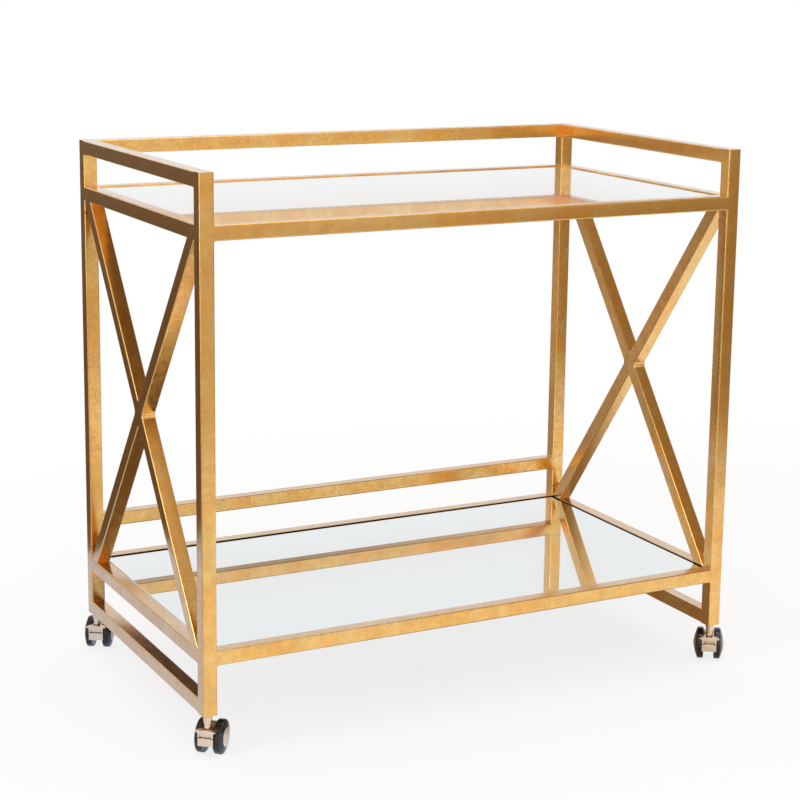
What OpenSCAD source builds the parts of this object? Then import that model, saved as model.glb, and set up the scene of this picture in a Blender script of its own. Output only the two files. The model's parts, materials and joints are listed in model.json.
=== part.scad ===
// Bar cart: a welded square-tube frame with two mirror shelves, X braces and four twin-wheel casters.
// +X is the right-hand side, +Y the back and +Z up. The floor is z = 0.
// The origin is the middle of the floor space that the whole cart covers, wheels included.

/* [Frame] */
// Width over the corner posts
cart_w = 914; // [700:1:1100]
// Depth over the corner posts
cart_d = 512; // [400:1:650]
// Length of a corner post, from the top of its caster to the top of the gallery
post_h = 785; // [600:1:950]
// Side of the square tube
tube = 22.2; // [19:0.1:26]
// Wall of the square tube
wall = 1.5; // [1:0.1:2]
// Radius of the tube's long edges
edge_r = 2; // [1:0.1:3]
// Flats that make up each rounded edge
edge_flats = 3; // [2:1:6]
// Thickness of the plates that close the tops of the posts
cap_plate_t = 2; // [1:0.5:4]

/* [Shelves] */
// Bottom of the posts to the top of the lower shelf's rails
lower_shelf_h = 97; // [60:1:160]
// Clear height between the upper shelf's rails and the gallery rails
gallery_gap = 51; // [30:1:90]
// Clear height between the lower shelf's back rail and the guard rail over it
guard_gap = 51; // [30:1:90]
// Thickness of the mirror glass
mirror_t = 5; // [3:0.5:6]
// Depth of the glass below the top of its rails
mirror_recess = 2; // [0.5:0.5:4]
// Gap between the edge of the glass and the rails
mirror_gap = 1.5; // [0.5:0.1:3]
// Ease ground along the edges of the glass
mirror_ease = 1; // [0.3:0.1:1.4]
// Thickness of the board under the glass
board_t = 4; // [3:0.5:6]
// Width of the ledge strips that carry a board
ledge_w = 12; // [8:1:20]
// Thickness of the ledge strips
ledge_t = 3; // [2:0.5:4]
// Gap at the corners between two ledge strips
ledge_gap = 2; // [0.5:0.5:10]

/* [Caster size] */
// Floor to the bottom of the posts
caster_h = 66; // [62:0.5:80]
// Diameter of a wheel
wheel_d = 51.6; // [44:0.1:54]
// Width of a wheel's tread
wheel_w = 9.4; // [7:0.1:12]
// Space between the two wheels of a caster
wheel_space = 17.6; // [16:0.1:22]
// Height of a wheel's domed outer face
dome_h = 7; // [5:0.1:9]
// Diameter of a hub cap
hub_cap_d = 29; // [20:0.5:32]
// Distance from the stem to the axle behind it
trail = 18.5; // [16:0.5:22]
// Diameter of the axle
axle_d = 6; // [5:0.1:8]
// Diameter of the stem where it turns in its socket
stem_d = 11; // [9:0.1:12]
// Length of the stem inside its socket
stem_grip = 24; // [15:1:35]
// Diameter of the stem's neck at its top
neck_top_d = 13.6; // [12.5:0.1:15]
// Diameter of the stem's neck where it meets the yoke
neck_bottom_d = 10; // [8.5:0.1:12]
// Diameter of the stem's foot, riveted into the yoke
foot_d = 7; // [5:0.1:8]

/* [Yoke] */
// Height of the yoke's flat top above the axle's axis
yoke_rise = 18.4; // [15:0.1:20]
// Radius of the web's round back, between the wheels
web_r = 22; // [18:0.1:24]
// Clearance between the web and each wheel
web_gap = 0.6; // [0.4:0.1:1]
// Metal left under the axle at the foot of the web
web_land = 1.5; // [1:0.1:3]
// Thickness of the apron in front of the wheels
apron_t = 3.2; // [2.8:0.1:4.5]
// Width of the apron
apron_w = 23.6; // [20:0.1:30]
// Gap between the apron and the wheels behind it
apron_gap = 0.8; // [0.5:0.1:1.5]
// Height of the lip along the top of the apron
lip_h = 4; // [3:0.1:6]
// Reach of the lip's pointed ends past each side of the apron
lip_point = 4.4; // [2:0.1:6]
// Height of the raised block at the foot of the apron
block_h = 11.5; // [7:0.1:12]
// Height of the block's middle above the axle's axis
block_lift = 0.3; // [-2:0.1:2]
// Depth of the cove between the lip and the block
cove_depth = 2; // [1:0.1:2.2]
// Width of the cheek at each end of the cove
cheek_w = 2.8; // [1:0.1:5]
// Depth of the groove over the block
groove_depth = 1.3; // [0.5:0.1:1.8]
// Height of the groove over the block
groove_h = 1.4; // [0.8:0.1:2]

/* [Caster headings] */
// Way the front left wheels trail, turned from straight back towards the right
front_left_heading = 42; // [-180:1:180]
// Way the front right wheels trail
front_right_heading = 35; // [-180:1:180]
// Way the back left wheels trail
back_left_heading = 32; // [-180:1:180]
// Way the back right wheels trail
back_right_heading = 35; // [-180:1:180]

/* [Clearances] */
// Radial clearance of the axle in a wheel and of the stem in its socket
running_gap = 0.05; // [0.02:0.01:0.1]
// End clearance between a turning piece and its neighbour
end_gap = 0.3; // [0.2:0.1:0.5]

/* [Hidden] */
$fn = 96;
cut = 1;

FRONT = 0;
BACK = 1;
LEFT = 0;
RIGHT = 1;

// Casters, as [side, end, heading]
FRONT_LEFT = [LEFT, FRONT, front_left_heading];
FRONT_RIGHT = [RIGHT, FRONT, front_right_heading];
BACK_LEFT = [LEFT, BACK, back_left_heading];
BACK_RIGHT = [RIGHT, BACK, back_right_heading];
CASTERS = [FRONT_LEFT, FRONT_RIGHT, BACK_LEFT, BACK_RIGHT];

GOLD = [0.80, 0.60, 0.32];
BRASS = [0.90, 0.80, 0.64];
BLACK = [0.10, 0.10, 0.10];
MIRROR = [0.92, 0.94, 0.95];
BOARD = [0.35, 0.27, 0.20];
STEEL = [0.60, 0.60, 0.62];

// Wheel and axle
wheel_r = wheel_d / 2;
axle_z = wheel_r;
hub_cap_r = hub_cap_d / 2;
tread_ease = 1;
dome_power = 1.46;
dome_steps = 10;
hub_cap_rim = 1;
hub_foot_r = 4;
hub_foot_len = 1.8;
hub_wall = 1;

// Height of the outer face over the wheel's inner face, at radius r
function dome_at(r) = wheel_w + dome_h * (1 - pow(r / wheel_r, dome_power));

hub_seat = dome_at(hub_cap_r) - hub_cap_rim;
wheel_bore_len = hub_seat - hub_foot_len - hub_wall;
axle_len = wheel_space + 2 * (wheel_bore_len - end_gap);

// Floor space of a caster round its axle, along X and along Y
dome_radii = [for (i = [0:dome_steps]) wheel_r * i / dome_steps];
function side_at(r) = wheel_space / 2 + (r < wheel_r ? dome_at(r) : wheel_w);
function half_x(heading) = max([for (r = dome_radii) side_at(r) * abs(cos(heading)) + r * abs(sin(heading))]);
function half_y(heading) = max([for (r = dome_radii) side_at(r) * abs(sin(heading)) + r * abs(cos(heading))]);

// Floor space of the whole cart, in a frame whose front left corner is the origin
function stem_at(side, size) = side == 0 ? tube / 2 : size - tube / 2;
function axle_x(c) = stem_at(c[0], cart_w) + trail * sin(c[2]);
function axle_y(c) = stem_at(c[1], cart_d) + trail * cos(c[2]);
low_x = min(0, min([for (c = CASTERS) axle_x(c) - half_x(c[2])]));
high_x = max(cart_w, max([for (c = CASTERS) axle_x(c) + half_x(c[2])]));
low_y = min(0, min([for (c = CASTERS) axle_y(c) - half_y(c[2])]));
high_y = max(cart_d, max([for (c = CASTERS) axle_y(c) + half_y(c[2])]));

// Corner of each post, and levels of the rails' undersides
frame_x = -(low_x + high_x) / 2;
frame_y = -(low_y + high_y) / 2;
post_x = [frame_x, frame_x + cart_w - tube];
post_y = [frame_y, frame_y + cart_d - tube];
gallery_z = caster_h + post_h - tube;
upper_z = gallery_z - gallery_gap - tube;
lower_z = caster_h + lower_shelf_h - tube;
guard_z = lower_z + tube + guard_gap;
base_z = caster_h;

// Braces: each bar's edges touch two opposite corners of the bay between posts and rails
bay_w = cart_d - 2 * tube;
bay_h = upper_z - lower_z - tube;
brace_lean = acos(tube / norm([bay_w, bay_h])) - atan2(bay_h, bay_w);
brace_len = bay_h / cos(brace_lean) + tube * tan(brace_lean) + 2 * edge_r;
bay_mid_y = frame_y + cart_d / 2;
bay_mid_z = lower_z + tube + bay_h / 2;

// Shelf stack
glass_w = cart_w - 2 * (tube + mirror_gap);
glass_d = cart_d - 2 * (tube + mirror_gap);
glass_drop = mirror_recess + mirror_t;
board_drop = glass_drop + board_t;
ledge_drop = board_drop + ledge_t;

// Caster: levels of the yoke and the stem
web_w = wheel_space - 2 * web_gap;
web_bottom = axle_z - axle_d / 2 - web_land;
yoke_top = axle_z + yoke_rise;
apron_back = wheel_r - trail + apron_gap;
yoke_front = apron_back + apron_t;
lip_back = 3.2;
block_top = axle_z + block_lift + block_h / 2;
block_bottom = block_top - block_h;
cove_top = yoke_top - lip_h;
groove_middle = block_top + groove_h / 2;
cove_steps = 6;
foot_len = 10;
collar_h = 3;
collar_d = neck_top_d + 0.8;
neck_room = neck_bottom_d / 2 + 1;
stem_r = stem_d / 2;
socket_r = stem_r + running_gap;
neck_top_z = caster_h - collar_h - end_gap;
stem_top_z = neck_top_z + stem_grip;
socket_floor = 3;
socket_len = stem_top_z + socket_floor - caster_h;

// Points along an arc
function arc(x, y, r, from, to, n) =
    [for (i = [0:n]) let (a = from + (to - from) * i / n) [x + r * cos(a), y + r * sin(a)]];

// Outline of the tube, from [0, 0] to [tube, tube]
module tube_outline() {
    near = edge_r;
    far = tube - edge_r;
    polygon(concat(
        arc(far, far, edge_r, 0, 90, edge_flats),
        arc(near, far, edge_r, 90, 180, edge_flats),
        arc(near, near, edge_r, 180, 270, edge_flats),
        arc(far, near, edge_r, 270, 360, edge_flats)
    ));
}

module tube_section() {
    difference() {
        tube_outline();
        translate([wall, wall]) square(tube - 2 * wall);
    }
}

// Stands what is drawn along Z along X or along Y, still from [0, 0, 0] upwards
module along_x() {
    rotate([90, 0, 90]) children();
}
module along_y(len) {
    translate([0, len, 0]) rotate([90, 0, 0]) children();
}

// Solid outer shape of a post, for the ends of the rails to be coped round
module post_shape(side, end, z) {
    translate([post_x[side], post_y[end], z - cut]) linear_extrude(tube + 2 * cut) tube_outline();
}

module post(side, end) {
    color(GOLD) translate([post_x[side], post_y[end], caster_h]) linear_extrude(post_h) tube_section();
}

// Rail between the left and right posts, its ends coped round their edges
cross_len = cart_w - 2 * (tube - edge_r);
module cross_place(end, z) {
    translate([post_x[LEFT] + tube - edge_r, post_y[end], z]) along_x() linear_extrude(cross_len) children();
}
module cross_rail(end, z) {
    color(GOLD) difference() {
        cross_place(end, z) tube_section();
        post_shape(LEFT, end, z);
        post_shape(RIGHT, end, z);
    }
}

// Rail between a front and a back post, which gives way to the cross rails that it meets
side_len = cart_d - 2 * (tube - edge_r);
module side_place(side, z) {
    translate([post_x[side], post_y[FRONT] + tube - edge_r, z]) along_y(side_len) linear_extrude(side_len) children();
}
module side_rail(side, z, cross_ends) {
    color(GOLD) difference() {
        side_place(side, z) tube_section();
        post_shape(side, FRONT, z);
        post_shape(side, BACK, z);
        for (end = cross_ends) cross_place(end, z) tube_outline();
    }
}

// Bar of an X brace, as long as the bay's diagonal: lean 1 has its top at the front, lean -1 at the back
module brace_place(side, lean) {
    translate([post_x[side], bay_mid_y, bay_mid_z]) rotate([lean * brace_lean, 0, 0]) children();
}
module brace_bar(side, lean) {
    brace_place(side, lean) translate([0, -tube / 2, -brace_len / 2]) linear_extrude(brace_len) children();
}

// What a bar is cut with where it ends against a tube that lies flush with it: clear of its rounded edges
module cope_outline() {
    touch = edge_r * (2 - sqrt(2));
    far = tube - touch;
    polygon([
        [touch, 0], [far, 0], [tube + cut, touch + cut], [tube + cut, far - cut],
        [far, tube], [touch, tube], [-cut, far - cut], [-cut, touch + cut]
    ]);
}
module brace_long(side) {
    color(GOLD) difference() {
        brace_bar(side, 1) tube_section();
        for (z = [upper_z, lower_z]) side_place(side, z) cope_outline();
    }
}

// Half of the other bar, welded to the long one: way 1 is the half behind it and way -1 the one in front
module brace_half(side, way) {
    reach = brace_len;
    color(GOLD) difference() {
        intersection() {
            brace_bar(side, -1) tube_section();
            brace_place(side, 1) translate([-cut, way > 0 ? 0 : -reach, -reach])
                cube([tube + 2 * cut, reach, 2 * reach]);
        }
        brace_bar(side, 1) cope_outline();
        for (z = [upper_z, lower_z]) side_place(side, z) cope_outline();
    }
}

module post_cap_plates() {
    inner = tube - 2 * wall;
    color(GOLD) for (x = post_x, y = post_y) {
        translate([x + wall, y + wall, caster_h + post_h - cap_plate_t]) cube([inner, inner, cap_plate_t]);
    }
}

// Four strips welded inside a shelf's rails
module ledges(rail_z) {
    inner_w = cart_w - 2 * tube;
    inner_d = cart_d - 2 * tube;
    side_start = ledge_w + ledge_gap;
    color(GOLD) translate([frame_x + tube, frame_y + tube, rail_z + tube - ledge_drop]) {
        for (y = [0, inner_d - ledge_w]) translate([0, y, 0]) cube([inner_w, ledge_w, ledge_t]);
        for (x = [0, inner_w - ledge_w]) {
            translate([x, side_start, 0]) cube([ledge_w, inner_d - 2 * side_start, ledge_t]);
        }
    }
}

module glass_place(rail_z, drop) {
    translate([frame_x + tube + mirror_gap, frame_y + tube + mirror_gap, rail_z + tube - drop]) children();
}
module board(rail_z) {
    color(BOARD) glass_place(rail_z, board_drop) cube([glass_w, glass_d, board_t]);
}

// Section of the glass, with all its edges eased
module eased_section(len) {
    e = mirror_ease;
    polygon([
        [e, 0], [len - e, 0], [len, e], [len, mirror_t - e],
        [len - e, mirror_t], [e, mirror_t], [0, mirror_t - e], [0, e]
    ]);
}
module mirror_glass(rail_z) {
    color(MIRROR) glass_place(rail_z, glass_drop) intersection() {
        along_x() linear_extrude(glass_w) eased_section(glass_d);
        along_y(glass_d) linear_extrude(glass_d) eased_section(glass_w);
    }
}

// Stem axis of a caster at the origin, its wheels trailing along +Y
module at_caster(c) {
    translate([frame_x + stem_at(c[0], cart_w), frame_y + stem_at(c[1], cart_d), 0])
        rotate([0, 0, -c[2]]) children();
}

// Plug in the bottom of each post, with a collar below and a blind bore for the stem
module caster_sockets() {
    inner = tube - 2 * wall;
    color(GOLD) for (c = CASTERS) {
        translate([frame_x + stem_at(c[0], cart_w), frame_y + stem_at(c[1], cart_d), 0]) difference() {
            union() {
                translate([-inner / 2, -inner / 2, caster_h]) cube([inner, inner, socket_len]);
                translate([0, 0, caster_h - collar_h]) cylinder(d = collar_d, h = collar_h);
            }
            translate([0, 0, caster_h - collar_h - cut])
                cylinder(r = socket_r, h = socket_len + collar_h + cut - socket_floor + end_gap);
        }
    }
}

module stem(c) {
    ease = 1;
    color(BRASS) at_caster(c) rotate_extrude() polygon([
        [0, yoke_top - foot_len],
        [foot_d / 2, yoke_top - foot_len],
        [foot_d / 2, yoke_top],
        [neck_bottom_d / 2, yoke_top],
        [neck_top_d / 2, neck_top_z],
        [stem_r, neck_top_z],
        [stem_r, stem_top_z - ease],
        [stem_r - ease, stem_top_z],
        [0, stem_top_z]
    ]);
}

// Front plate of the yoke from the side, with a groove over its raised block
module apron_outline() {
    polygon([
        [-yoke_front, yoke_top],
        [-yoke_front, block_top + groove_h],
        [-yoke_front + groove_depth, groove_middle],
        [-yoke_front, block_top],
        [-yoke_front, block_bottom],
        [-apron_back, block_bottom],
        [-apron_back, yoke_top]
    ]);
}

// Cove from the side: flush under the lip, and curving inwards down to the groove
module cove_outline() {
    polygon(concat(
        [[-yoke_front - cut, cove_top]],
        [for (i = [0:cove_steps]) let (s = i / cove_steps)
            [-yoke_front + cove_depth * (1 - cos(90 * s)), cove_top - s * (cove_top - groove_middle)]],
        [[-yoke_front - cut, groove_middle]]
    ));
}

module apron() {
    difference() {
        translate([-apron_w / 2, 0, 0]) along_x() linear_extrude(apron_w) apron_outline();
        translate([cheek_w - apron_w / 2, 0, 0]) along_x() linear_extrude(apron_w - 2 * cheek_w) cove_outline();
    }
}

// Lip over the front of the wheels from the front, with a point at each end
module lip_outline() {
    half = apron_w / 2;
    polygon([
        [-half, yoke_top], [half, yoke_top], [half + lip_point, yoke_top - lip_h / 2],
        [half, yoke_top - lip_h], [-half, yoke_top - lip_h], [-half - lip_point, yoke_top - lip_h / 2]
    ]);
}

// Plate between the wheels, flat under the axle, with a round back that rises behind the neck
module web() {
    front = -apron_back - cut;
    difference() {
        union() {
            translate([-web_w / 2, front, web_bottom]) cube([web_w, trail - front, yoke_top - web_bottom]);
            difference() {
                translate([-web_w / 2, trail, axle_z]) rotate([0, 90, 0]) cylinder(r = web_r, h = web_w);
                translate([-web_w, neck_room - web_r, yoke_top - cut]) cube([2 * web_w, web_r, web_r]);
            }
        }
        translate([-web_w, front - cut, web_bottom - web_r]) cube([2 * web_w, 2 * (trail + web_r), web_r]);
    }
}

module yoke(c) {
    color(BRASS) at_caster(c) difference() {
        union() {
            apron();
            translate([0, -lip_back, 0]) rotate([90, 0, 0]) linear_extrude(yoke_front - lip_back) lip_outline();
            web();
        }
        translate([-apron_w, trail, axle_z]) rotate([0, 90, 0]) cylinder(d = axle_d, h = 2 * apron_w);
        translate([0, 0, yoke_top - foot_len]) cylinder(d = foot_d, h = foot_len + cut);
    }
}

module axle(c) {
    color(STEEL) at_caster(c) translate([-axle_len / 2, trail, axle_z]) rotate([0, 90, 0])
        cylinder(d = axle_d, h = axle_len);
}

// Places a wheel's profile, drawn as [radius, distance out from the wheel's inner face]
module at_hub(c, way) {
    at_caster(c) translate([way * wheel_space / 2, trail, axle_z]) rotate([0, way * 90, 0]) rotate_extrude()
        children();
}

module wheel(c, way) {
    bore_r = axle_d / 2 + running_gap;
    rim_r = wheel_r - tread_ease;
    color(BLACK) at_hub(c, way) polygon(concat(
        [[bore_r, 0], [rim_r, 0], [wheel_r, tread_ease], [wheel_r, wheel_w - tread_ease]],
        [for (i = [0:dome_steps]) let (r = rim_r + (hub_cap_r - rim_r) * i / dome_steps) [r, dome_at(r)]],
        [
            [hub_cap_r, hub_seat],
            [hub_foot_r, hub_seat],
            [hub_foot_r, hub_seat - hub_foot_len],
            [0, hub_seat - hub_foot_len],
            [0, wheel_bore_len],
            [bore_r, wheel_bore_len]
        ]
    ));
}

module hub_cap(c, way) {
    color(BRASS) at_hub(c, way) polygon(concat(
        [
            [0, hub_seat - hub_foot_len],
            [hub_foot_r, hub_seat - hub_foot_len],
            [hub_foot_r, hub_seat],
            [hub_cap_r, hub_seat]
        ],
        [for (i = [0:dome_steps]) let (r = hub_cap_r * (1 - i / dome_steps)) [r, dome_at(r)]]
    ));
}

post(LEFT, FRONT);  // front_left_post
post(RIGHT, FRONT);  // front_right_post
post(LEFT, BACK);  // back_left_post
post(RIGHT, BACK);  // back_right_post
post_cap_plates();
side_rail(LEFT, gallery_z, [BACK]);  // gallery_rail_left
side_rail(RIGHT, gallery_z, [BACK]);  // gallery_rail_right
cross_rail(BACK, gallery_z);  // gallery_rail_back
cross_rail(FRONT, upper_z);  // upper_rail_front
cross_rail(BACK, upper_z);  // upper_rail_back
side_rail(LEFT, upper_z, [FRONT, BACK]);  // upper_rail_left
side_rail(RIGHT, upper_z, [FRONT, BACK]);  // upper_rail_right
cross_rail(FRONT, lower_z);  // lower_rail_front
cross_rail(BACK, lower_z);  // lower_rail_back
side_rail(LEFT, lower_z, [FRONT, BACK]);  // lower_rail_left
side_rail(RIGHT, lower_z, [FRONT, BACK]);  // lower_rail_right
cross_rail(BACK, guard_z);  // guard_rail
side_rail(LEFT, base_z, []);  // base_rail_left
side_rail(RIGHT, base_z, []);  // base_rail_right
brace_long(LEFT);  // left_brace_long
brace_half(LEFT, 1);  // left_brace_upper
brace_half(LEFT, -1);  // left_brace_lower
brace_long(RIGHT);  // right_brace_long
brace_half(RIGHT, 1);  // right_brace_upper
brace_half(RIGHT, -1);  // right_brace_lower
ledges(upper_z);  // upper_ledges
ledges(lower_z);  // lower_ledges
board(upper_z);  // upper_board
board(lower_z);  // lower_board
mirror_glass(upper_z);  // upper_mirror
mirror_glass(lower_z);  // lower_mirror
caster_sockets();
stem(FRONT_LEFT);  // front_left_stem
yoke(FRONT_LEFT);  // front_left_yoke
axle(FRONT_LEFT);  // front_left_axle
wheel(FRONT_LEFT, -1);  // front_left_wheel_a
wheel(FRONT_LEFT, 1);  // front_left_wheel_b
hub_cap(FRONT_LEFT, -1);  // front_left_hub_cap_a
hub_cap(FRONT_LEFT, 1);  // front_left_hub_cap_b
stem(FRONT_RIGHT);  // front_right_stem
yoke(FRONT_RIGHT);  // front_right_yoke
axle(FRONT_RIGHT);  // front_right_axle
wheel(FRONT_RIGHT, -1);  // front_right_wheel_a
wheel(FRONT_RIGHT, 1);  // front_right_wheel_b
hub_cap(FRONT_RIGHT, -1);  // front_right_hub_cap_a
hub_cap(FRONT_RIGHT, 1);  // front_right_hub_cap_b
stem(BACK_LEFT);  // back_left_stem
yoke(BACK_LEFT);  // back_left_yoke
axle(BACK_LEFT);  // back_left_axle
wheel(BACK_LEFT, -1);  // back_left_wheel_a
wheel(BACK_LEFT, 1);  // back_left_wheel_b
hub_cap(BACK_LEFT, -1);  // back_left_hub_cap_a
hub_cap(BACK_LEFT, 1);  // back_left_hub_cap_b
stem(BACK_RIGHT);  // back_right_stem
yoke(BACK_RIGHT);  // back_right_yoke
axle(BACK_RIGHT);  // back_right_axle
wheel(BACK_RIGHT, -1);  // back_right_wheel_a
wheel(BACK_RIGHT, 1);  // back_right_wheel_b
hub_cap(BACK_RIGHT, -1);  // back_right_hub_cap_a
hub_cap(BACK_RIGHT, 1);  // back_right_hub_cap_b
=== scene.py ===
import json
import math

import bmesh
import bpy
from mathutils import Matrix, Vector, noise

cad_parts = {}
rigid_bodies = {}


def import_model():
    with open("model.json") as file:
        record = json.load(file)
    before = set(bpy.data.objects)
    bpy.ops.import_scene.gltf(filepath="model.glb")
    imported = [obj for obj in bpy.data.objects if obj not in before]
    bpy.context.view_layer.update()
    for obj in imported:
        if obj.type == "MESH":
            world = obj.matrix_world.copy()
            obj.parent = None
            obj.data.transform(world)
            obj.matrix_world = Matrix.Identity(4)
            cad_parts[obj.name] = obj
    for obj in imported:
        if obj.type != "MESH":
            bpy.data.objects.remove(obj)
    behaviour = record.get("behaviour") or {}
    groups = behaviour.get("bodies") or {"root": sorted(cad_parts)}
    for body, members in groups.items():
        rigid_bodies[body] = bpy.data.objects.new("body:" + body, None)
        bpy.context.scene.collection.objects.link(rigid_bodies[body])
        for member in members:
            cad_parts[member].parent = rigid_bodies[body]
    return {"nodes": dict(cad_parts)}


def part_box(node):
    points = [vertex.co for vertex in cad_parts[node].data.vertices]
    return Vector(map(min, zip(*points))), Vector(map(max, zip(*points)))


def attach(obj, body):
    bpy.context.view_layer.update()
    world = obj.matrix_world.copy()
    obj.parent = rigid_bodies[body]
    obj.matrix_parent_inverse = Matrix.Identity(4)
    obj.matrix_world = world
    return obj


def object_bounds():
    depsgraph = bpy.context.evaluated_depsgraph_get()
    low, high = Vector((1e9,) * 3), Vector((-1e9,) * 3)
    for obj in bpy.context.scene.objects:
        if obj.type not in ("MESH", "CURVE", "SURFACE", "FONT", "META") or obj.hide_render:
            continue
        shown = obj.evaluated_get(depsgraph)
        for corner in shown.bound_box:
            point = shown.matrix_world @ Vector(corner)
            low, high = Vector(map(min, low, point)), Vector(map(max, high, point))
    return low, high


bpy.ops.object.select_all(action="SELECT")
bpy.ops.object.delete()
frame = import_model()
CAD_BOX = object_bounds()

# Sizes, in metres
EDGE_R = 0.002              # rounding along the corners of the tube
BEAD_LEG = 0.0060           # how far a weld runs along each of the two members
BEAD_LEG_TOP = 0.0038       # the same for the welds on top of a rail
BEAD_SINK = 0.0004          # how deep a weld's root lies in the metal
BEAD_WAVE = 0.00025         # height of a hand-laid weld's waves
BEAD_WAVE_LENGTH = 0.006    # length of those waves
GAP_SHADOW_BAND = 0.0020          # how far from the lower mirror the rails round it are painted black, as the shadow of the gap there
GAP_SHADOW_FADE = 0.0002          # distance over which that band ends
RECESS = 0.005              # how near a facing wall makes brass darker, as painted shade
MERGE_DISTANCE = 1e-6       # points of a mesh nearer than this are joined

# Cuts of a weld
BEAD_ARC = 6                                # flats across its hollow face
BEAD_STEPS = (0.02, 0.15, 0.4, 0.7, 1.0)    # cuts through its rounded end, as shares of EDGE_R

# Shading
SMOOTH_ANGLE = math.radians(32)     # faces that meet at a larger angle keep a sharp edge
FLAT_WEIGHT = 100                   # how firmly large faces stay flat, from 1 to 100

# Camera, fitted to the edges of posts and rails. Its place is from the low corner of the front left post
CAMERA_OFFSET = Vector((-0.97004, -2.43910, 1.07821))
CAMERA_AZIMUTH = math.radians(-27.7158)
CAMERA_ELEVATION = math.radians(11.1708)
CAMERA_ROLL = math.radians(0.7103)
CAMERA_LENS = 86.786
CAMERA_SENSOR = 36.0
CAMERA_SHIFT_Y = -0.08
CAMERA_REACH = 40.0         # metres that the camera sees

# Colours, as linear RGB
GOLD = (1.0, 0.51, 0.085)
GOLD_PALE = (1.0, 0.65, 0.19)
GOLD_DEEP = (0.32, 0.13, 0.022)
# The next colour is a painted shadow, for the gap round the lower mirror
GAP_SHADOW = (0.020, 0.014, 0.010)
# The next colour is dust together with a painted pale sheen, for the upper faces of the leaf
DUST_AND_SHEEN = (0.42, 0.36, 0.33)
BRASS = (0.92, 0.75, 0.56)
BRASS_DARK = (0.66, 0.48, 0.32)
# The next colour is painted shade, for brass in its recesses
RECESS_SHADE = (0.12, 0.065, 0.028)
SILVER = (0.83, 0.86, 0.865)
GLASS_EDGE = (0.30, 0.46, 0.40)
STEEL = (0.55, 0.56, 0.57)
PLASTIC = (0.010, 0.010, 0.011)
PLASTIC_WORN = (0.032, 0.032, 0.034)
HARDBOARD = (0.24, 0.15, 0.085)
HARDBOARD_DARK = (0.13, 0.075, 0.04)
PALE_FLOOR = (0.94, 0.94, 0.94)
WHITE = (1.0, 1.0, 1.0)
BLACK = (0.0, 0.0, 0.0)
DIM_ROOM = (1.0, 0.68, 0.38)

# How many of a surface's marks lie in a metre
LEAF_PATCHES = 14.0
LEAF_FOLDS = 30.0
LEAF_CLOUDS = 65.0
LEAF_GRAIN = 720.0
MIRROR_SMEARS = 9.0
BRASS_STAINS = 90.0
YOKE_MARKS = 900.0
HUB_CAP_MARKS = 1500.0
STEEL_MARKS = 1800.0
PLASTIC_SCUFFS = 130.0
PLASTIC_SKIN = 1400.0
BOARD_SHADES = 14.0
BOARD_FIBRES = 260.0
BOARD_FIBRE_AXES = (1.0, 3.5, 3.5)      # the fibres lie along x, so more of them lie in a metre of y and z
PAPER_FIBRES = 300.0

# How strongly the marks of leaf and brass show, from 0 to 1, among them a painted sheen on the leaf's upper
# faces and painted shade in the brass's recesses
PATCH_SHARE = 0.7
CREASE_SHARE = 0.5
CLOUD_SHARE = 0.16
GRAIN_SHARE = 0.50
DUST_AND_SHEEN_SHARE = 0.5
STAIN_SHARE = 0.5
RECESS_SHADE_SHARE = 0.95


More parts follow.
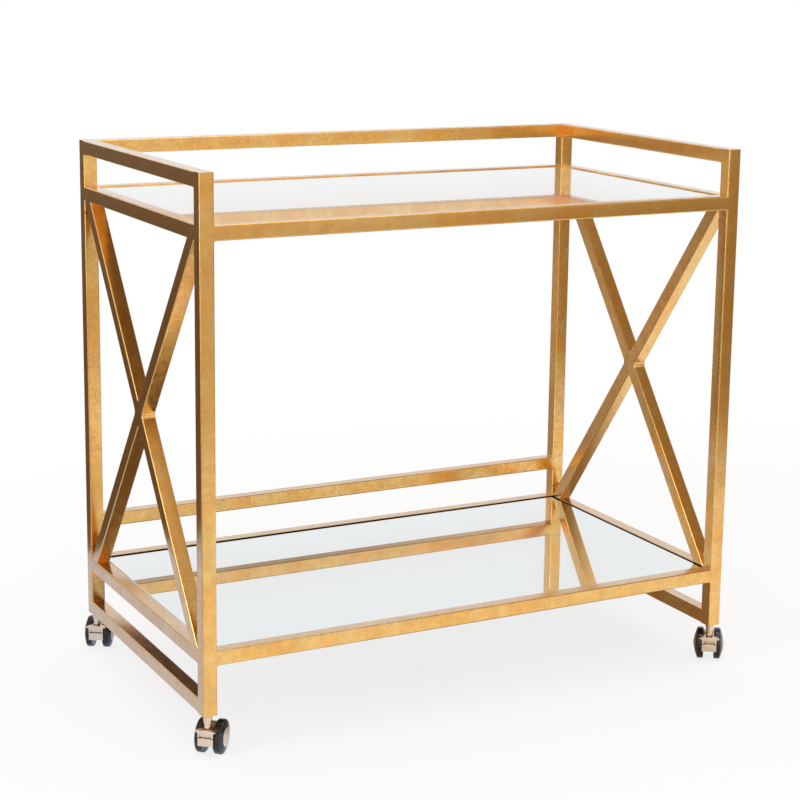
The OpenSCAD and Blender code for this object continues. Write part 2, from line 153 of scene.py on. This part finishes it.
class Tree:
    """Short calls that fill a node tree. add returns the new node, and most others a socket."""

    def __init__(self, tree):
        self.tree = tree
        tree.nodes.clear()

    def add(self, kind, inputs=None, **settings):
        """A new node. Each of its inputs is given a value, or the socket that feeds it."""
        node = self.tree.nodes.new(kind)
        for key, value in settings.items():
            setattr(node, key, value)
        for key, value in (inputs or {}).items():
            if isinstance(value, bpy.types.NodeSocket):
                self.tree.links.new(value, node.inputs[key])
            else:
                node.inputs[key].default_value = value
        return node

    def noise(self, at, scale, detail=4.0, roughness=0.55, distortion=0.0):
        inputs = {"Vector": at, "Scale": scale, "Detail": detail,
                  "Roughness": roughness, "Distortion": distortion}
        return self.add("ShaderNodeTexNoise", inputs).outputs["Fac"]

    def ramp(self, value, low, high, low_to=0.0, high_to=1.0):
        """value's stretch from low to high, spread smoothly over low_to to high_to."""
        inputs = {"Value": value, "From Min": low, "From Max": high, "To Min": low_to, "To Max": high_to}
        return self.add("ShaderNodeMapRange", inputs, interpolation_type="SMOOTHSTEP").outputs["Result"]

    def between(self, share, low_to, high_to):
        """low_to where share is 0, turning into high_to where it is 1."""
        return self.ramp(share, 0.0, 1.0, low_to, high_to)

    def math(self, operation, a, b=0.0):
        return self.add("ShaderNodeMath", {0: a, 1: b}, operation=operation).outputs[0]

    def plus(self, a, b):
        return self.math("ADD", a, b)

    def times(self, a, b):
        return self.math("MULTIPLY", a, b)

    def larger(self, a, b):
        return self.math("MAXIMUM", a, b)

    def vector_math(self, operation, a, b=(0.0, 0.0, 0.0), result="Vector"):
        return self.add("ShaderNodeVectorMath", {0: a, 1: b}, operation=operation).outputs[result]

    def axes(self, vector):
        """The sockets X, Y and Z of a vector."""
        return self.add("ShaderNodeSeparateXYZ", {0: vector}).outputs

    def mix(self, factor, a, b, blend="MIX"):
        """Colour a turning into colour b. Each is an RGB tuple or a socket."""
        a, b = ((*c, 1.0) if isinstance(c, tuple) else c for c in (a, b))
        inputs = {0: factor, 6: a, 7: b}
        return self.add("ShaderNodeMix", inputs, data_type="RGBA", blend_type=blend).outputs[2]

    def outside(self, at, low, high):
        """How far a point lies outside a box, along the axis where it is farthest out."""
        reach = self.vector_math("ABSOLUTE", self.vector_math("SUBTRACT", at, (low + high) / 2))
        over = self.axes(self.vector_math("SUBTRACT", reach, (high - low) / 2))
        return self.larger(self.larger(over["X"], over["Y"]), over["Z"])

    def upward(self):
        """How far the surface faces up: 1 on level upper faces, 0 on upright ones, -1 on undersides."""
        return self.axes(self.add("ShaderNodeNewGeometry").outputs["True Normal"])["Z"]

    def bump(self, height, strength, distance):
        inputs = {"Height": height, "Strength": strength, "Distance": distance}
        return self.add("ShaderNodeBump", inputs).outputs["Normal"]

    def principled(self, inputs):
        return self.add("ShaderNodeBsdfPrincipled", inputs).outputs["BSDF"]

    def emission(self, colour):
        return self.add("ShaderNodeEmission", {"Color": colour}).outputs["Emission"]

    def mix_shaders(self, factor, a, b):
        """Shader a turning into shader b."""
        return self.add("ShaderNodeMixShader", {0: factor, 1: a, 2: b}).outputs["Shader"]

    def finish(self, shader):
        """Ends a material's tree in a shader."""
        self.add("ShaderNodeOutputMaterial", {"Surface": shader})


def material(name):
    """A new material as (material, its tree, its object coordinates)."""
    made = bpy.data.materials.new(name)
    made.use_nodes = True
    tree = Tree(made.node_tree)
    return made, tree, tree.add("ShaderNodeTexCoord").outputs["Object"]


def dimmed(colour, share):
    """A colour at a share of its level."""
    return tuple(share * c for c in colour)


def gold_leaf():
    """Leaf over a red-brown ground: soft patches, cloudy rubbing, creases and fine grain.
    Upper faces are duller with dust and a painted pale sheen, and a thin band beside the lower mirror is
    painted black as the shadow in the gap at its edge."""
    made, tree, at = material("gold_leaf")
    patches = tree.ramp(tree.noise(at, LEAF_PATCHES, detail=3.0), 0.38, 0.62)
    clouds = tree.ramp(tree.noise(at, LEAF_CLOUDS, roughness=0.6), 0.36, 0.66)
    grain = tree.noise(at, LEAF_GRAIN, detail=1.5, roughness=0.6)
    folds = tree.noise(at, LEAF_FOLDS, detail=2.0, distortion=0.5)
    off_fold = tree.math("ABSOLUTE", tree.math("SUBTRACT", folds, 0.5))
    creases = tree.times(tree.ramp(off_fold, 0.0, 0.010, CREASE_SHARE, 0.0), patches)
    # Upper faces are dusty, and paler with a painted sheen
    dust_and_sheen = tree.ramp(tree.upward(), 0.80, 0.98)
    # Painted shadow: the rails are black in a thin band round the lower mirror, where the gap at its edge
    # lies in shade
    beside = tree.outside(at, *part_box("lower_mirror"))
    gap_shadow = tree.ramp(beside, GAP_SHADOW_BAND, GAP_SHADOW_BAND + GAP_SHADOW_FADE, 1.0, 0.0)
    colour = tree.mix(tree.times(patches, PATCH_SHARE), GOLD, GOLD_PALE)
    colour = tree.mix(tree.times(clouds, CLOUD_SHARE), colour, GOLD_DEEP)
    colour = tree.mix(tree.ramp(grain, 0.42, 0.70, 0.0, GRAIN_SHARE), colour, GOLD_DEEP)
    colour = tree.mix(creases, colour, GOLD_PALE)
    colour = tree.mix(tree.times(dust_and_sheen, DUST_AND_SHEEN_SHARE), colour, DUST_AND_SHEEN)
    relief = tree.plus(tree.times(clouds, 0.5), grain)
    tree.finish(tree.principled({
        "Base Color": tree.mix(gap_shadow, colour, GAP_SHADOW),
        "Metallic": 1.0,
        "Roughness": tree.plus(tree.between(clouds, 0.15, 0.22), tree.times(grain, 0.06)),
        "Normal": tree.bump(relief, strength=0.24, distance=0.0004),
        "Coat Weight": tree.times(tree.between(gap_shadow, 1.0, 0.1), tree.between(dust_and_sheen, 1.0, 0.6)),
        "Coat IOR": 1.72,
        "Coat Roughness": 0.12,
    }))
    return made


def silvered_glass():
    """A mirror seen from above, with the pale green of glass at its ground edges."""
    made, tree, at = material("silvered_glass")
    rim = tree.ramp(tree.upward(), 0.55, 0.95, 1.0, 0.0)
    smears = tree.noise(at, MIRROR_SMEARS, detail=6.0, roughness=0.6, distortion=1.2)
    tint = tree.mix(tree.ramp(smears, 0.3, 0.8, 0.0, 0.35), SILVER, dimmed(SILVER, 0.97))
    tree.finish(tree.principled({
        "Base Color": tree.mix(rim, tint, GLASS_EDGE),
        "Metallic": 1.0,
        "Roughness": tree.plus(tree.ramp(smears, 0.45, 0.8, 0.004, 0.022), tree.times(rim, 0.16)),
        "Coat Weight": 0.65,
        "Coat IOR": 1.5,
        "Coat Roughness": 0.22,
    }))
    return made


def pale_brass(name, marks_per_metre):
    """Pale plated brass with fine polishing marks and stains, and painted shade in its recesses."""
    made, tree, at = material(name)
    stains = tree.ramp(tree.noise(at, BRASS_STAINS, detail=5.0, roughness=0.6), 0.45, 0.8)
    marks = tree.noise(at, marks_per_metre, detail=2.0, roughness=0.5)
    # Painted shade: brass darkens where a wall is near, as in a recess
    open_air = tree.add("ShaderNodeAmbientOcclusion", {"Distance": RECESS}, samples=8).outputs["AO"]
    colour = tree.mix(tree.times(stains, STAIN_SHARE), BRASS, BRASS_DARK)
    tree.finish(tree.principled({
        "Base Color": tree.mix(tree.ramp(open_air, 0.45, 0.92, RECESS_SHADE_SHARE, 0.0), colour, RECESS_SHADE),
        "Metallic": 1.0,
        "Roughness": tree.plus(tree.between(stains, 0.30, 0.40), tree.times(marks, 0.08)),
        "Normal": tree.bump(marks, strength=0.05, distance=0.0002),
    }))
    return made


def brushed_steel():
    """Drawn steel rod with a fine grain."""
    made, tree, at = material("brushed_steel")
    marks = tree.noise(at, STEEL_MARKS, detail=2.0)
    tree.finish(tree.principled({
        "Base Color": tree.mix(marks, STEEL, dimmed(STEEL, 0.8)),
        "Metallic": 1.0,
        "Roughness": tree.ramp(marks, 0.2, 0.8, 0.25, 0.40),
        "Normal": tree.bump(marks, strength=0.1, distance=0.0001),
    }))
    return made


def moulded_plastic():
    """Black glossy plastic with a fine moulded skin and faint scuffs."""
    made, tree, at = material("moulded_plastic")
    skin = tree.noise(at, PLASTIC_SKIN, detail=3.0)
    scuffs = tree.ramp(tree.noise(at, PLASTIC_SCUFFS, detail=5.0, roughness=0.7), 0.5, 0.75)
    tree.finish(tree.principled({
        "Base Color": tree.mix(scuffs, PLASTIC, PLASTIC_WORN),
        "Roughness": tree.between(scuffs, 0.13, 0.26),
        "Normal": tree.bump(skin, strength=0.06, distance=0.0002),
        "IOR": 1.5,
    }))
    return made


def hardboard():
    """Pressed wood fibre, dark and matt, with long darker fibres and broad darker shades."""
    made, tree, at = material("hardboard")
    stretched = tree.add("ShaderNodeMapping", {"Vector": at, "Scale": BOARD_FIBRE_AXES}).outputs["Vector"]
    fibres = tree.noise(stretched, BOARD_FIBRES, detail=5.0, roughness=0.7)
    shades = tree.noise(at, BOARD_SHADES, detail=3.0)
    colour = tree.mix(tree.ramp(fibres, 0.42, 0.70), HARDBOARD, HARDBOARD_DARK)
    tree.finish(tree.principled({
        "Base Color": tree.mix(tree.ramp(shades, 0.3, 0.7, 0.0, 0.3), colour, HARDBOARD_DARK),
        "Roughness": tree.ramp(fibres, 0.3, 0.7, 0.72, 0.88),
        "Normal": tree.bump(fibres, strength=0.25, distance=0.0003),
    }))
    return made


# The material of each slot
MATERIALS = {
    "frame": gold_leaf(),
    "mirror": silvered_glass(),
    "board": hardboard(),
    "yoke": pale_brass("plated_brass", YOKE_MARKS),
    "hub_cap": pale_brass("spun_brass", HUB_CAP_MARKS),
    "axle": brushed_steel(),
    "wheel": moulded_plastic(),
}


def smoothing_group():
    """Joins the split corners of an imported mesh and marks its sharp edges by their angle."""
    group = bpy.data.node_groups.new("smooth_by_angle", "GeometryNodeTree")
    for way in ("INPUT", "OUTPUT"):
        group.interface.new_socket("Geometry", in_out=way, socket_type="NodeSocketGeometry")
    tree = Tree(group)
    start = tree.add("NodeGroupInput").outputs[0]
    inputs = {"Geometry": start, "Distance": MERGE_DISTANCE}
    joined = tree.add("GeometryNodeMergeByDistance", inputs).outputs[0]
    inputs = {"Geometry": joined, "Name": "custom_normal"}
    plain = tree.add("GeometryNodeRemoveAttribute", inputs).outputs[0]
    inputs = {"Geometry": plain, "Shade Smooth": True}
    smooth_faces = tree.add("GeometryNodeSetShadeSmooth", inputs, domain="FACE").outputs[0]
    angle = tree.add("GeometryNodeInputMeshEdgeAngle").outputs["Unsigned Angle"]
    inputs = {0: angle, 1: SMOOTH_ANGLE}
    sharp = tree.add("FunctionNodeCompare", inputs, data_type="FLOAT", operation="GREATER_THAN").outputs[0]
    inputs = {"Geometry": smooth_faces, "Selection": sharp, "Shade Smooth": False}
    sharp_edges = tree.add("GeometryNodeSetShadeSmooth", inputs, domain="EDGE").outputs[0]
    tree.add("NodeGroupOutput", {0: sharp_edges})
    return group


SMOOTHING = smoothing_group()


def smooth(piece):
    """Shades a piece smoothly over its small flats and leaves its large faces flat."""
    piece.modifiers.new("smooth_by_angle", "NODES").node_group = SMOOTHING
    weighted = piece.modifiers.new("weighted_normals", "WEIGHTED_NORMAL")
    weighted.keep_sharp = True
    weighted.weight = FLAT_WEIGHT


# Every CAD node keeps its shape and takes the material of its slot
for node in frame["nodes"].values():
    slot = node.material_slots[0]
    slot.material = MATERIALS[slot.material.name]
    smooth(node)


def add_object(name, data):
    """A new object in the scene."""
    made = bpy.data.objects.new(name, data)
    bpy.context.scene.collection.objects.link(made)
    return made


def add_mesh(name, mesh, surface):
    """A new object in the scene from a bmesh, in one material."""
    data = bpy.data.meshes.new(name)
    mesh.to_mesh(data)
    mesh.free()
    data.materials.append(surface)
    return add_object(name, data)


def piece_from(name, mesh, body, slot_name):
    """A piece from a bmesh that rides on a body and takes a slot's material."""
    bmesh.ops.recalc_face_normals(mesh, faces=mesh.faces)
    piece = add_mesh(name, mesh, MATERIALS[slot_name])
    smooth(piece)
    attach(piece, body)


# Welds in the inner corners of the frame
X, Y, Z = Vector((1, 0, 0)), Vector((0, 1, 0)), Vector((0, 0, 1))
UNDER, OVER = -1, 1
POST_LOW, POST_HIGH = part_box("front_left_post")
TUBE = POST_HIGH.x - POST_LOW.x


def bead(mesh, corner, along_a, along_b, across, leg):
    """One hollow weld between two members that meet at corner and run off along_a and along_b.
    across is the unit direction of the tube's width, and the weld's ends round with the tube's corners."""
    along_a, along_b = along_a.normalized(), along_b.normalized()
    inward = (along_a + along_b).normalized()
    half_angle = along_a.angle(along_b) / 2
    radius = leg * math.tan(half_angle)
    out_a = (along_b - along_a * along_a.dot(along_b)).normalized()
    out_b = (along_a - along_b * along_b.dot(along_a)).normalized()
    places = [s * EDGE_R for s in BEAD_STEPS] + [TUBE - s * EDGE_R for s in reversed(BEAD_STEPS)]
    rings = []
    for place in places:
        depth = min(place, TUBE - place, EDGE_R)
        recess = EDGE_R - math.sqrt(EDGE_R ** 2 - (EDGE_R - depth) ** 2)
        root = corner + across * (place - TUBE / 2) - inward * (recess / math.sin(half_angle))
        centre = root + inward * (radius / math.sin(half_angle))
        end_a, end_b = root + along_a * leg, root + along_b * leg
        first, last = (end_a - centre).normalized(), (end_b - centre).normalized()
        ring = [root - inward * (BEAD_SINK / math.sin(half_angle)), end_a - out_a * BEAD_SINK]
        for i in range(BEAD_ARC + 1):
            point = centre + first.slerp(last, i / BEAD_ARC) * radius
            wave = BEAD_WAVE * noise.noise(point / BEAD_WAVE_LENGTH) * math.sin(math.pi * i / BEAD_ARC)
            ring.append(point + inward * wave)
        ring.append(end_b - out_b * BEAD_SINK)
        rings.append([mesh.verts.new(p) for p in ring])
    for near, far in zip(rings, rings[1:]):
        for i in range(len(near)):
            j = (i + 1) % len(near)
            mesh.faces.new((near[i], near[j], far[j], far[i]))
    mesh.faces.new(rings[0])
    mesh.faces.new(reversed(rings[-1]))


def rail_welds(mesh, rail, run, across, sides):
    """Welds under and over both ends of a rail that runs along run, or on one of these sides."""
    low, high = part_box(rail)
    middle = (low + high) / 2
    for end in (-1, 1):
        at_end = (high if end > 0 else low).dot(run)
        for side in sides:
            level = (high if side == OVER else low).z
            corner = run * at_end + across * middle.dot(across) + Z * level
            bead(mesh, corner, Z * side, -run * end, across, BEAD_LEG_TOP if side == OVER else BEAD_LEG)


rail_mesh = bmesh.new()
for name in ("upper_rail_front", "upper_rail_back", "lower_rail_front", "lower_rail_back", "guard_rail"):
    rail_welds(rail_mesh, name, X, Y, (UNDER, OVER))
rail_welds(rail_mesh, "gallery_rail_back", X, Y, (UNDER,))
for side in ("left", "right"):
    rail_welds(rail_mesh, "gallery_rail_" + side, Y, X, (UNDER,))
    rail_welds(rail_mesh, "upper_rail_" + side, Y, X, (OVER,))
    rail_welds(rail_mesh, "lower_rail_" + side, Y, X, (UNDER,))
    rail_welds(rail_mesh, "base_rail_" + side, Y, X, (OVER,))
piece_from("rail_welds", rail_mesh, "frame", "frame")


def brace_welds(mesh, side):
    """Welds where one side's X meets the corners of its bay, and where its bars cross."""
    upper_low, upper_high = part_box("upper_rail_" + side)
    lower_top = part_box("lower_rail_" + side)[1].z
    half_y = (upper_high.y - upper_low.y) / 2
    half_z = (upper_low.z - lower_top) / 2
    middle = (upper_low + upper_high) / 2
    centre = Vector((middle.x, middle.y, (upper_low.z + lower_top) / 2))
    lean = math.atan2(half_y, half_z)
    on_rail = TUBE / 2 / math.cos(lean)
    on_post = TUBE / 2 / math.sin(lean)
    for way_y in (-1, 1):
        for way_z in (-1, 1):
            bar = Y * way_y * half_y + Z * way_z * half_z
            bead(mesh, centre + bar - Y * way_y * on_rail, -Y * way_y, -bar, X, BEAD_LEG)
            bead(mesh, centre + bar - Z * way_z * on_post, -Z * way_z, -bar, X, BEAD_LEG)
    rising = Y * half_y + Z * half_z
    falling = Y * half_y - Z * half_z
    for way in (-1, 1):
        bead(mesh, centre + Y * way * on_rail, rising * way, falling * way, X, BEAD_LEG)
        bead(mesh, centre + Z * way * on_post, rising * way, -falling * way, X, BEAD_LEG)


brace_mesh = bmesh.new()
for side in ("left", "right"):
    brace_welds(brace_mesh, side)
piece_from("brace_welds", brace_mesh, "frame", "frame")


def level_way(azimuth, elevation=0.0):
    """Unit vector at an azimuth from straight back, positive to the right, and an elevation, in degrees."""
    a, e = math.radians(azimuth), math.radians(elevation)
    return Vector((math.sin(a) * math.cos(e), math.cos(a) * math.cos(e), math.sin(e)))


def cosine(degrees):
    return math.cos(math.radians(degrees))


# The room that metal and glass mirror: light and neutral, but dim and warm overhead, behind to the left and
# in front to the right. A height in it is the z of the unit vector that points there
ROOM_LEVEL = 0.95
WARMEST_LEVEL = 0.12                    # the level where the room's tint is warmest
CEILING_LEVEL = 0.60
CEILING_FROM, CEILING_TO = 0.35, 0.8    # heights where the ceiling starts and is complete
# Each dim side is its middle, the angles from there where it starts and is complete, its level, and the
# heights between which it ends
DIM_SIDES = (
    (level_way(-18.0), 15, 7, 0.19, 0.22, 0.50),
    (level_way(-41.0), 24, 11, 0.56, 0.45, 0.70),
    (level_way(124.0), 32, 18, 0.48, 0.02, 0.14),
    (level_way(122.0, 42.0), 24, 12, 0.30, 0.80, 0.95),
)


def toward(tree, way, direction):
    """Cosine of the angle between a unit vector and a direction."""
    return tree.vector_math("DOT_PRODUCT", way, direction, result="Value")


def room_level(tree, way):
    """How bright the room is in the direction of a unit vector."""
    height = toward(tree, way, Z)
    level = tree.ramp(height, CEILING_FROM, CEILING_TO, ROOM_LEVEL, CEILING_LEVEL)
    for direction, outer, inner, dim, low, high in DIM_SIDES:
        side = tree.ramp(toward(tree, way, direction), cosine(outer), cosine(inner))
        spot = tree.times(side, tree.ramp(height, low, high, 1.0, 0.0))
        level = tree.math("MINIMUM", level, tree.between(spot, ROOM_LEVEL, dim))
    return level


def room_colour(tree, level):
    """White where the room is bright and warm where it is dim."""
    tint = tree.mix(tree.ramp(level, WARMEST_LEVEL, ROOM_LEVEL), DIM_ROOM, WHITE)
    return tree.mix(1.0, tint, tree.mix(level, BLACK, WHITE), "MULTIPLY")


# Floor: white paper to the camera. Metal and glass mirror patches of painted light and shade on it near the
# object, and past them the room's levels, FAR_FLOOR times as bright
FLOOR_REACH = (-9.0, 9.0)
FAR_FLOOR = 0.66
PAPER_MIDDLE = (0.35, -0.65, 0.0)
# Each patch is its middle, the distances where it starts to fade and where it ends, and its colour: lit white
# paper in front, painted shade behind and to the left, and a painted shadow under the object
PAINTED_PATCHES = (
    ((-1.65, 2.90, 0.0), 1.60, 2.20, (0.50, 0.42, 0.35)),
    ((-0.10, 1.00, 0.0), 0.40, 0.75, (0.38, 0.33, 0.28)),
    (PAPER_MIDDLE, 0.65, 1.65, WHITE),
    ((-0.45, 0.30, 0.0), 0.42, 0.80, (0.60, 0.66, 0.84)),
    ((0.14, 0.12, 0.0), 0.42, 0.62, (0.26, 0.19, 0.12)),
)
# Past SHADOW_FAR the camera sees plain white. Up to SHADOW_NEAR it sees NEAR_WHITE of that, and the lit paper
# with the object's shadow for the rest
SHADOW_NEAR, SHADOW_FAR = 0.9, 2.4
NEAR_WHITE = 0.80


def around(tree, at, place, inner, outer, inner_level, outer_level):
    """inner_level up to the distance inner from a place, turning into outer_level at the distance outer."""
    distance = tree.vector_math("DISTANCE", at, place, result="Value")
    return tree.ramp(distance, inner, outer, inner_level, outer_level)


def floor_paper():
    """Paper that the lamps light. To the camera it glows white, and to metal and glass in painted light and
    shade near the object.
    """
    made, tree, at = material("floor_paper")
    rays = tree.add("ShaderNodeLightPath").outputs
    seen = rays["Is Camera Ray"]
    way = tree.vector_math("NORMALIZE", at)
    mirrored = room_colour(tree, tree.times(room_level(tree, way), FAR_FLOOR))
    # Painted light and shade: patches of the paper's glow that only metal and glass show, with the object's
    # painted shadow under it
    for place, inner, outer, colour in PAINTED_PATCHES:
        mirrored = tree.mix(around(tree, at, place, inner, outer, 1.0, 0.0), mirrored, colour)
    fibres = tree.noise(at, PAPER_FIBRES, detail=3.0)
    lit = tree.principled({
        "Base Color": tree.mix(fibres, PALE_FLOOR, dimmed(PALE_FLOOR, 0.97)),
        "Roughness": 0.9,
    })
    glow = tree.emission(tree.mix(seen, mirrored, WHITE))
    white = around(tree, at, PAPER_MIDDLE, SHADOW_NEAR, SHADOW_FAR, NEAR_WHITE, 1.0)
    share = tree.larger(tree.times(seen, white), rays["Is Glossy Ray"])
    share = tree.larger(share, rays["Is Transmission Ray"])
    tree.finish(tree.mix_shaders(share, lit, glow))
    return made


def stage_panels(name, panels, surface):
    """Level panels of the stage, facing up. Each is its reach in x, its reach in y and its height."""
    mesh = bmesh.new()
    for (left, right), (front, back), height in panels:
        corners = ((left, front), (right, front), (right, back), (left, back))
        mesh.faces.new([mesh.verts.new((x, y, height)) for x, y in corners])
    stage = add_mesh(name, mesh, surface)
    return stage


stage_panels("floor", [(FLOOR_REACH, FLOOR_REACH, 0.0)], floor_paper())


# A blind of dark level slats behind the object and to the left. Only metal and glass show it, and only from
# above: it darkens the left faces of the frame, while what looks up from a shelf sees past it
SLATS_X = (-1.35, -0.55)
SLATS_Y = (0.60, 1.05)
SLAT_SPACING = 0.05
SLAT_COUNT = 16
SLAT_LOW = (0.130, 0.085, 0.048)
SLAT_HIGH = (0.155, 0.125, 0.100)
SLAT_LOW_TO, SLAT_HIGH_FROM = 0.4, 0.8      # heights between which the slats' colour changes


def slat_cloth():
    """Dark from above and clear from below, a little lighter on the upper slats."""
    made, tree, at = material("slat_cloth")
    upper = tree.ramp(tree.axes(at)["Z"], SLAT_LOW_TO, SLAT_HIGH_FROM)
    dark = tree.emission(tree.mix(upper, SLAT_LOW, SLAT_HIGH))
    clear = tree.add("ShaderNodeBsdfTransparent").outputs["BSDF"]
    below = tree.add("ShaderNodeNewGeometry").outputs["Backfacing"]
    tree.finish(tree.mix_shaders(below, dark, clear))
    return made


slat_heights = [SLAT_SPACING * i for i in range(1, SLAT_COUNT + 1)]
slats = stage_panels("slats", [(SLATS_X, SLATS_Y, height) for height in slat_heights], slat_cloth())
for rays in ("camera", "diffuse", "transmission", "volume_scatter", "shadow"):
    setattr(slats, "visible_" + rays, False)

# A white backdrop behind the object, which only metal and glass show
BACKDROP_WAY = level_way(30.0, 5.0)
BACKDROP_OUTER, BACKDROP_INNER = 38, 24     # angles from its middle where it starts and is complete
BACKDROP_LEVEL = 0.94


def studio_world():
    """A world that the camera sees as white, and metal and glass as the backdrop and the room."""
    world = bpy.data.worlds.new("studio")
    world.use_nodes = True
    tree = Tree(world.node_tree)
    seen = tree.add("ShaderNodeLightPath").outputs["Is Camera Ray"]
    way = tree.add("ShaderNodeTexCoord").outputs["Generated"]
    from_middle = toward(tree, way, BACKDROP_WAY)
    backdrop = tree.ramp(from_middle, cosine(BACKDROP_OUTER), cosine(BACKDROP_INNER), 0.0, BACKDROP_LEVEL)
    room = room_colour(tree, tree.larger(room_level(tree, way), backdrop))
    light = tree.add("ShaderNodeBackground", {"Color": tree.mix(seen, room, WHITE), "Strength": 1.0})
    tree.add("ShaderNodeOutputWorld", {"Surface": light.outputs[0]})
    return world


bpy.context.scene.world = studio_world()

# Lamps, pointed at the middle of the object. Each is its name, place, width and height, and its watts
LAMPS = (
    ("key", (-1.4, -2.8, 2.7), 1.6, 1.6, 29.0),
    ("top", (0.2, -0.3, 3.1), 2.2, 2.2, 25.0),
    ("left", (-2.9, -0.7, 1.2), 0.8, 2.2, 17.0),
)
MIDDLE = (CAD_BOX[0] + CAD_BOX[1]) / 2
for name, place, width, height, watts in LAMPS:
    lamp_data = bpy.data.lights.new(name, "AREA")
    lamp_data.shape = "RECTANGLE"
    lamp_data.size, lamp_data.size_y = width, height
    lamp_data.energy = watts
    lamp = add_object(name, lamp_data)
    lamp.location = place
    lamp.rotation_euler = (MIDDLE - lamp.location).to_track_quat("-Z", "Y").to_euler()

camera_data = bpy.data.cameras.new("camera")
camera_data.lens = CAMERA_LENS
camera_data.sensor_width = CAMERA_SENSOR
camera_data.shift_y = CAMERA_SHIFT_Y
camera_data.clip_end = CAMERA_REACH
camera = add_object("camera", camera_data)
camera.location = POST_LOW + CAMERA_OFFSET
camera.rotation_euler = (
    Matrix.Rotation(CAMERA_AZIMUTH, 3, "Z")
    @ Matrix.Rotation(math.pi / 2 - CAMERA_ELEVATION, 3, "X")
    @ Matrix.Rotation(CAMERA_ROLL, 3, "Z")
).to_euler()
bpy.context.scene.camera = camera
bpy.context.scene.view_settings.view_transform = "Standard"
